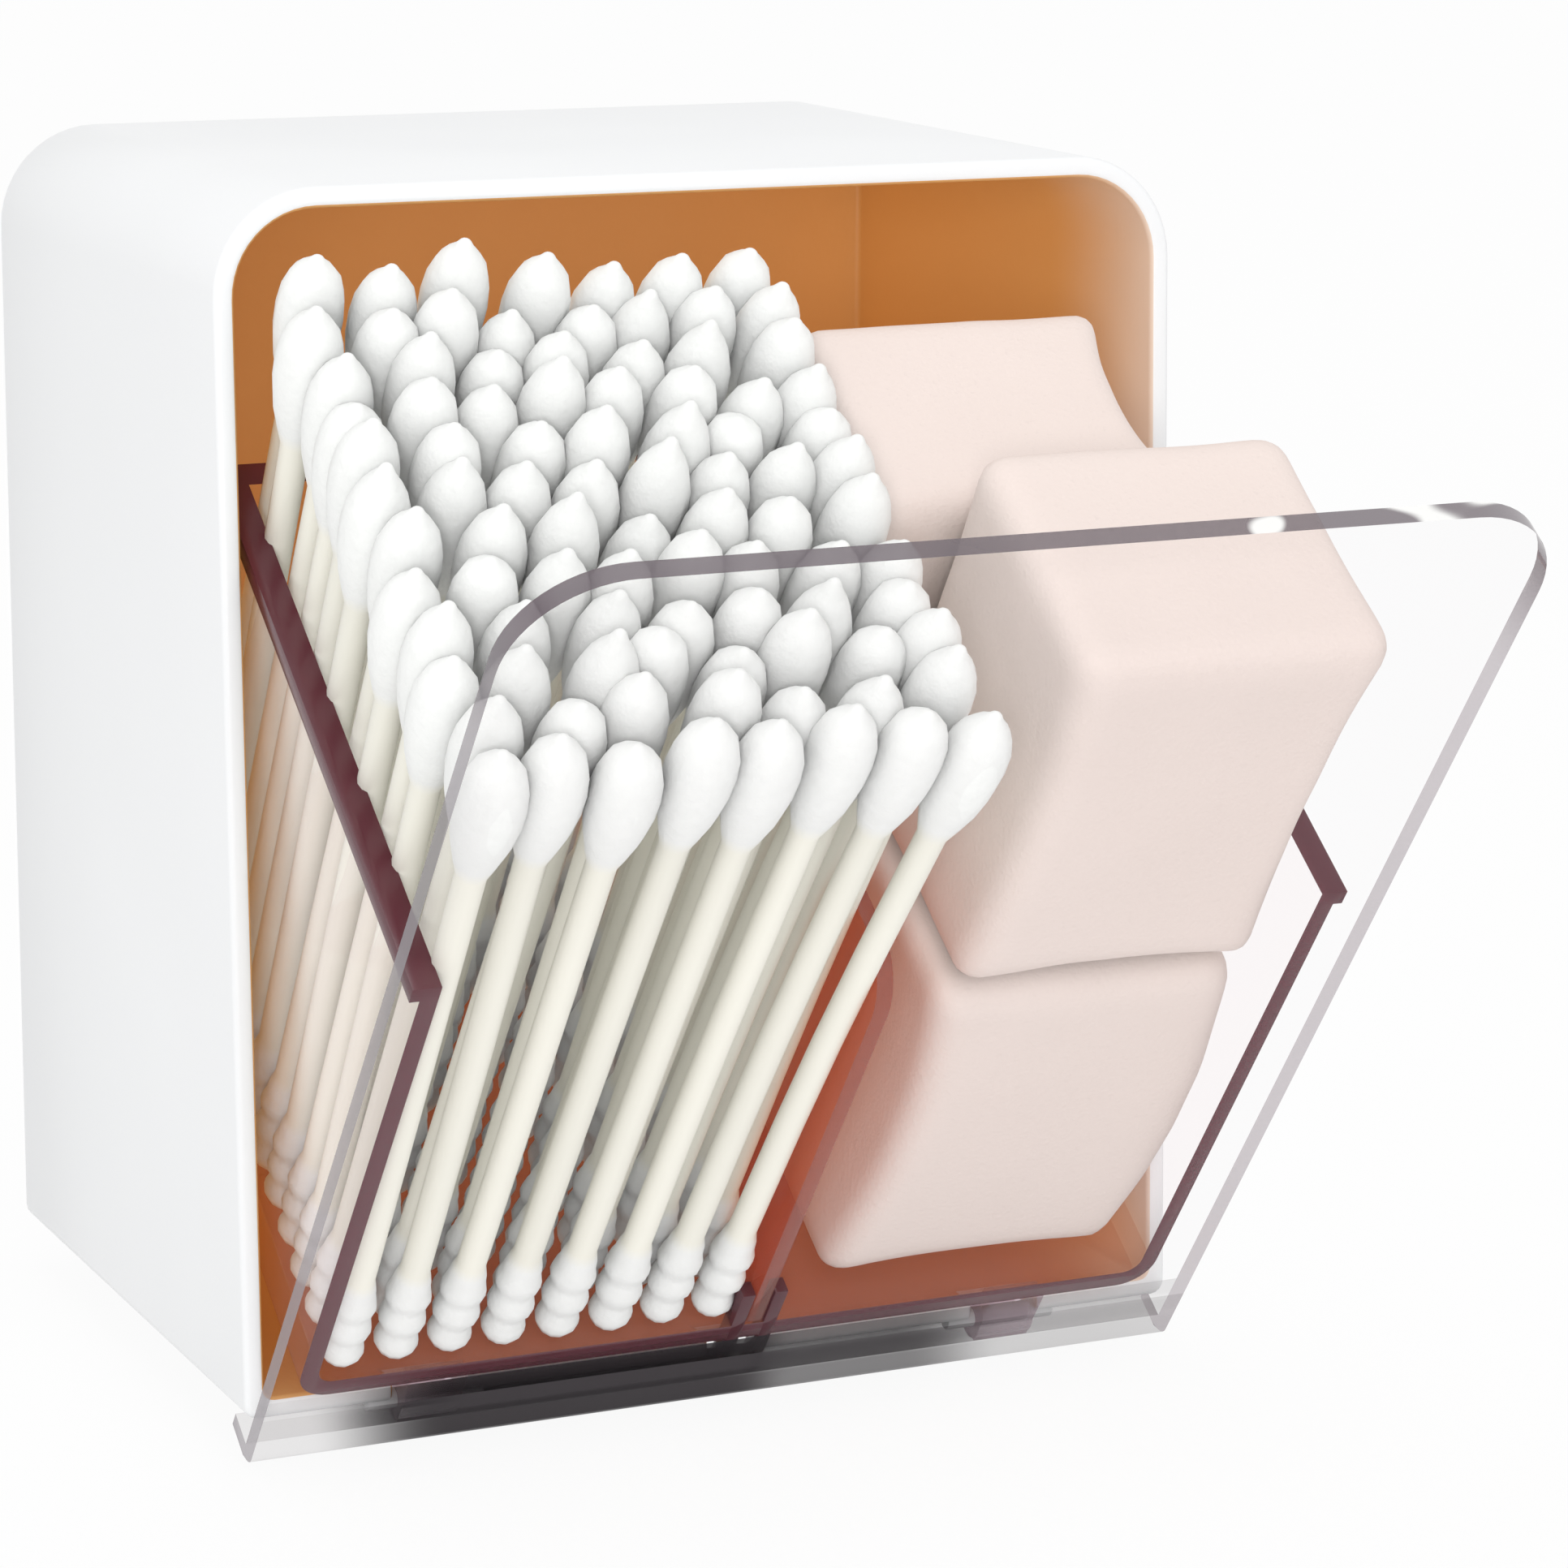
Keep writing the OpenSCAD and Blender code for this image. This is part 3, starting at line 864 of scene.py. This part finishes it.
class BOX_OT_swabs(bpy.types.Operator):
    """Adds the cotton swabs, with beads at their feet and points at their tips"""

    bl_idname = "cotton_box.swabs"
    bl_label = "Cotton swabs"

    def execute(self, context):
        size = context.scene.box_swabs
        bin_size = context.scene.box_bin
        look = context.scene.box_finish
        pattern = self.pattern(size)
        shape = np.array([corner.co[:] for corner in pattern.data.vertices])
        material = cotton_swab(look)
        base = bin_size.floor_top + 0.25 * MM
        made = []
        for row in range(size.rows):
            for column in range(size.columns - row % 2):
                count = len(made)
                swab = pattern.copy()
                swab.data = pattern.data.copy()
                bpy.context.collection.objects.link(swab)
                corners = self.bent(size, shape, row, column, base)
                swab.data.vertices.foreach_set("co", corners.ravel())
                self.mark(size, swab.data, shape, count)
                dress(swab, [material])
                made.append(swab)
        bpy.data.objects.remove(pattern)
        piece = join_loose(made)
        piece.name = piece.data.name = "swab_bunch"
        bpy.ops.object.shade_smooth()
        tip_out(piece, context.scene.box_case)
        ride(piece, "bin", "swabs")
        return {"FINISHED"}

    def profile(self, size):
        """Radius and height of each ring of a swab, from its foot to its tip."""
        bud, round_bead, stick = size.bud, size.beads, size.stick
        bead = 0.82 * size.bead / BEADS
        rings = [(0.3 * round_bead, 0.0)]
        for index in range(BEADS):
            start = index * bead
            wide = round_bead * (0.94, 1.0, 0.97)[index]
            rings += [(0.78 * wide, start + 0.12 * bead), (wide, start + 0.42 * bead)]
            rings += [(0.97 * wide, start + 0.66 * bead), (0.84 * wide, start + 0.94 * bead)]
        rings += [(0.76 * round_bead, 0.9 * size.bead), (stick, size.bead)]
        middle = (size.length - size.point + size.bead) / 2
        rings += [(stick, 0.7 * middle), (stick, middle), (stick, 1.3 * middle)]
        start = size.length - size.point
        flame = ((0.0, stick / bud), *BUD_SHAPE, *TIP_SHAPE)
        return rings + [(wide * bud, start + share * size.point) for share, wide in flame]

    def pattern(self, size):
        """One upright swab, drawn up ring by ring from a circle."""
        rings = self.profile(size)
        deselect()
        foot = rings[0][0]
        bpy.ops.mesh.primitive_circle_add(vertices=SWAB_SIDES, radius=foot, fill_type="NGON")
        bpy.ops.object.mode_set(mode="EDIT")
        bpy.ops.mesh.select_mode(type="FACE")
        bpy.ops.mesh.select_all(action="SELECT")
        for (radius, height), (wide, high) in zip(rings, rings[1:]):
            step = (0, 0, high - height)
            bpy.ops.mesh.extrude_region_move(TRANSFORM_OT_translate={"value": step})
            bpy.ops.transform.resize(value=(wide / radius, wide / radius, 1))
        bpy.ops.mesh.select_all(action="SELECT")
        bpy.ops.mesh.normals_make_consistent(inside=False)
        bpy.ops.object.mode_set(mode="OBJECT")
        return bpy.context.object

    def bent(self, size, shape, row, column, base):
        """The corners of the swab of a row and a column, leaning and bent a little."""
        deep = row / (size.rows - 1)
        across = (column + (row % 2) / 2) / (size.columns - 1)
        seeds = [(row * 3.7 + index * 11.3, column * 5.1, 2.5) for index in range(5)]
        jitter = [noise.noise(seed) for seed in seeds]
        even = column / (size.columns - 1 - row % 2)
        fan = 0.4 * across + 0.6 * even
        foot_x = size.foot_left + even * (size.foot_right - size.foot_left)
        foot_x += 0.15 * MM * jitter[0]
        tip_x = size.tip_left + fan * (size.tip_right - size.tip_left) + size.sway * jitter[1]
        foot_y = size.foot_front + deep * (size.foot_back - size.foot_front)
        foot_y += 0.12 * MM * jitter[2]
        tip_y = size.tip_front + deep * (size.tip_back - size.tip_front) + size.sway * jitter[3]
        scale = 1 - size.unevenness * (0.5 + jitter[4])
        blunt = 0.5 + noise.noise((row * 2.9, column * 7.3, 9.1))
        along = shape[:, 2] / size.length
        spread = np.clip((along - 0.35) / 0.65, 0, 1)
        bend = along + across * 0.5 * (spread ** 1.6 - along)
        out = np.empty_like(shape)
        lean = math.hypot(tip_x - foot_x, tip_y - foot_y) / size.length
        out[:, 0] = foot_x + (tip_x - foot_x) * bend + shape[:, 0]
        out[:, 1] = foot_y + (tip_y - foot_y) * along + shape[:, 1]
        out[:, 2] = base + shape[:, 2] * scale * math.cos(lean)
        tip = np.clip(along - 1 + 0.2 * size.point / size.length, 0, 1)
        out[:, 2] -= tip * size.length * blunt * 0.55
        return out

    def mark(self, size, mesh, shape, count):
        """Stores where the cotton is and a value of the swab's own."""
        above = shape[:, 2] > size.length - 0.98 * size.point
        below = shape[:, 2] < 0.98 * size.bead
        cotton = mesh.attributes.new("cotton", "FLOAT", "POINT")
        cotton.data.foreach_set("value", np.logical_or(above, below).astype(np.float32))
        values = mesh.attributes.new("own", "FLOAT", "POINT")
        values.data.foreach_set("value", np.full(len(shape), (count * 0.618) % 1, np.float32))


class BOX_OT_sponges(bpy.types.Operator):
    """Adds the four makeup sponges, waisted blocks of soft foam in two stacks"""

    bl_idname = "cotton_box.sponges"
    bl_label = "Makeup sponges"

    def execute(self, context):
        size = context.scene.box_sponges
        bin_size = context.scene.box_bin
        base = bin_size.floor_top + size.gap
        material = soft_foam(context.scene.box_finish)
        front = (size.front_left, size.front_right, size.front_near, size.front_far)
        rear = (size.rear_left, size.rear_right, size.rear_near, size.rear_far)
        stacks = (("front", front, size.front_height), ("rear", rear, size.rear_height))
        for name, (left, right, near, far), height in stacks:
            for level in (0, 1):
                low = Vector((left, near, base + level * (height + size.gap)))
                high = Vector((right, far, low.z + height))
                bow = size.bow if (name, level) == ("front", 0) else 0.0
                piece = self.sponge(size, f"sponge_{name}_{level + 1}", low, high, bow)
                dress(piece, [material])
                tip_out(piece, context.scene.box_case)
                ride(piece, "bin", "sponges")
        return {"FINISHED"}

    def sponge(self, size, name, low, high, bow):
        """A block with rounded edges whose sides are hollow between its corners."""
        piece = block(name, low, high)
        choose(piece)
        bpy.ops.object.mode_set(mode="EDIT")
        bpy.ops.mesh.select_all(action="SELECT")
        bpy.ops.mesh.subdivide(number_cuts=SPONGE_CUTS)
        bpy.ops.object.mode_set(mode="OBJECT")
        centre, half = (low + high) / 2, (high - low) / 2
        reach = half - Vector((size.edge, size.edge, size.edge))
        seed = Vector((low.x * 900, low.y * 700, low.z * 500))
        for corner in piece.data.vertices:
            at = corner.co - centre
            held = [max(-limit, min(limit, value)) for value, limit in zip(at, reach)]
            held = Vector(held)
            out = at - held
            at = held + out.normalized() * size.edge if out.length > 0 else held
            share = [value / limit for value, limit in zip(at, half)]
            flank = 1 - share[1] ** 2 if name.startswith("sponge_rear") else 0.3
            if not bow:
                at.x -= size.waist * share[0] * (1 - share[2] ** 2) * (1.0 - flank)
            at.x -= 1.5 * size.waist * max(0.0, share[0]) * flank
            at.x += bow * ((1 - share[2] ** 2) * 2 - 1)
            at.z += size.arch * max(0.0, -share[2]) * (1 - share[0] ** 2)
            ripple = noise.noise(at * 90 + seed) * RIPPLE
            at *= 1 - abs(ripple) / half.x
            corner.co = centre + at
        bpy.ops.object.shade_smooth()
        return piece


class BOX_OT_stage(bpy.types.Operator):
    """Adds the white floor, the soft studio light and the camera"""

    bl_idname = "cotton_box.stage"
    bl_label = "Stage"

    def execute(self, context):
        self.floor()
        self.world(context.scene)
        for name, place, size, power in LAMPS:
            self.lamp(name, place, size, power)
        self.camera(context.scene)
        context.scene.view_settings.view_transform = "Standard"
        cycles = context.scene.cycles
        cycles.max_bounces = 4
        cycles.diffuse_bounces = 3
        cycles.glossy_bounces = 1
        cycles.transmission_bounces = 1
        cycles.caustics_reflective = False
        cycles.caustics_refractive = False
        cycles.use_fast_gi = True
        cycles.fast_gi_method = "REPLACE"
        cycles.ao_bounces_render = 2
        context.scene.world.light_settings.ao_factor = 1.0
        context.scene.world.light_settings.distance = 0.007
        cycles.transparent_max_bounces = 16
        return {"FINISHED"}

    def floor(self):
        """A pale floor under the object, white to the camera but for the object's soft shadow."""
        deselect()
        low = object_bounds()[0].z - 1.0 * MM
        bpy.ops.mesh.primitive_plane_add(size=6, location=(0, 0, low))
        bpy.ops.object.transform_apply(location=True, rotation=True, scale=True)
        floor = bpy.context.object
        floor.name = "floor"
        finish = Finish("white_floor")
        path = finish.node("ShaderNodeLightPath")
        outputs = path.socket.node.outputs
        rays = ("Is Camera Ray", "Is Glossy Ray", "Is Transmission Ray")
        seen = [Signal(finish, outputs[name]) for name in rays]
        share = (seen[0] + seen[1] + seen[2]).minimum(1.0)
        matt = finish.body({"Base Color": (0.9, 0.9, 0.9, 1), "Roughness": 0.9})
        white = finish.node("ShaderNodeEmission", values={"Color": (1, 1, 1, 1), "Strength": 1.0})
        dress(floor, [finish.surface(finish.blend(share * FLOOR_WHITE, matt, white))])
        floor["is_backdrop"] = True

    def world(self, scene):
        """White for what the camera and reflections see, softer for what lights the object."""
        world = bpy.data.worlds.new("studio")
        world.use_nodes = True
        scene.world = world
        nodes, links = world.node_tree.nodes, world.node_tree.links
        nodes.clear()
        path = nodes.new("ShaderNodeLightPath")
        pair = [nodes.new("ShaderNodeMath") for _ in range(2)]
        for node in pair:
            node.operation = "MAXIMUM"
        links.new(path.outputs["Is Camera Ray"], pair[0].inputs[0])
        links.new(path.outputs["Is Glossy Ray"], pair[0].inputs[1])
        links.new(pair[0].outputs[0], pair[1].inputs[0])
        links.new(path.outputs["Is Transmission Ray"], pair[1].inputs[1])
        soft, white = nodes.new("ShaderNodeBackground"), nodes.new("ShaderNodeBackground")
        soft.inputs["Strength"].default_value = ROOM_LIGHT
        white.inputs["Strength"].default_value = 1.0
        for node in (soft, white):
            node.inputs["Color"].default_value = (1, 1, 1, 1)
        mix = nodes.new("ShaderNodeMixShader")
        links.new(pair[1].outputs[0], mix.inputs[0])
        links.new(soft.outputs[0], mix.inputs[1])
        links.new(white.outputs[0], mix.inputs[2])
        output = nodes.new("ShaderNodeOutputWorld")
        links.new(mix.outputs[0], output.inputs["Surface"])

    def lamp(self, name, place, size, power):
        """A round soft lamp that points at the box."""
        light = bpy.data.lights.new(name, "AREA")
        light.shape = "DISK"
        light.size = size
        light.energy = power
        lamp = bpy.data.objects.new(name, light)
        bpy.context.collection.objects.link(lamp)
        lamp.location = place
        aim = LAMP_AIM - Vector(place)
        lamp.rotation_euler = aim.to_track_quat("-Z", "Y").to_euler()

    def camera(self, scene):
        """The photograph's viewpoint: left of the box, above it and turned a little."""
        size = scene.box_case
        level = math.cos(CAMERA_PITCH)
        back = Vector((-math.sin(CAMERA_YAW) * level, -math.cos(CAMERA_YAW) * level, 0))
        back.z = math.sin(CAMERA_PITCH)
        target = Vector((TARGET_RIGHT, -size.depth, TARGET_ABOVE_BASE - size.height / 2))
        right = Vector((0, 0, 1)).cross(back).normalized()
        up = back.cross(right)
        across = math.cos(CAMERA_ROLL) * right + math.sin(CAMERA_ROLL) * up
        upward = -math.sin(CAMERA_ROLL) * right + math.cos(CAMERA_ROLL) * up
        data = bpy.data.cameras.new("camera")
        data.sensor_width = 36.0
        data.lens = CAMERA_LENS
        data.clip_start, data.clip_end = 0.01, 20.0
        camera = bpy.data.objects.new("camera", data)
        scene.collection.objects.link(camera)
        turned = Matrix((across, upward, back)).transposed().to_4x4()
        camera.matrix_world = Matrix.Translation(target + back * CAMERA_DISTANCE) @ turned
        scene.camera = camera


class BOX_PT_sidebar(bpy.types.Panel):
    """Lists the pieces, their sizes and their colours"""

    bl_label = "Cotton Box"
    bl_space_type = "VIEW_3D"
    bl_region_type = "UI"
    bl_category = "Cotton Box"

    def draw(self, context):
        for name, group in GROUPS.items():
            box = self.layout.box()
            box.label(text=group.__name__)
            values = getattr(context.scene, name)
            for key in group.__annotations__:
                box.prop(values, key)
        for step in STEPS:
            self.layout.operator(step.bl_idname)


GROUPS = {
    "box_case": CaseSizes,
    "box_bin": BinSizes,
    "box_divider": DividerSizes,
    "box_swabs": SwabSizes,
    "box_sponges": SpongeSizes,
    "box_finish": BoxFinish,
}
STEPS = (
    BOX_OT_case,
    BOX_OT_panel,
    BOX_OT_trough,
    BOX_OT_divider,
    BOX_OT_swabs,
    BOX_OT_sponges,
    BOX_OT_stage,
)


def register():
    for name, group in GROUPS.items():
        bpy.utils.register_class(group)
        setattr(bpy.types.Scene, name, PointerProperty(type=group))
    for step in (*STEPS, BOX_PT_sidebar):
        bpy.utils.register_class(step)


def unregister():
    for step in (*STEPS, BOX_PT_sidebar):
        bpy.utils.unregister_class(step)
    for name, group in GROUPS.items():
        delattr(bpy.types.Scene, name)
        bpy.utils.unregister_class(group)


def main():
    register()
    for step in STEPS:
        family, name = step.bl_idname.split(".")
        getattr(getattr(bpy.ops, family), name)()


if __name__ == "__main__":
    main()
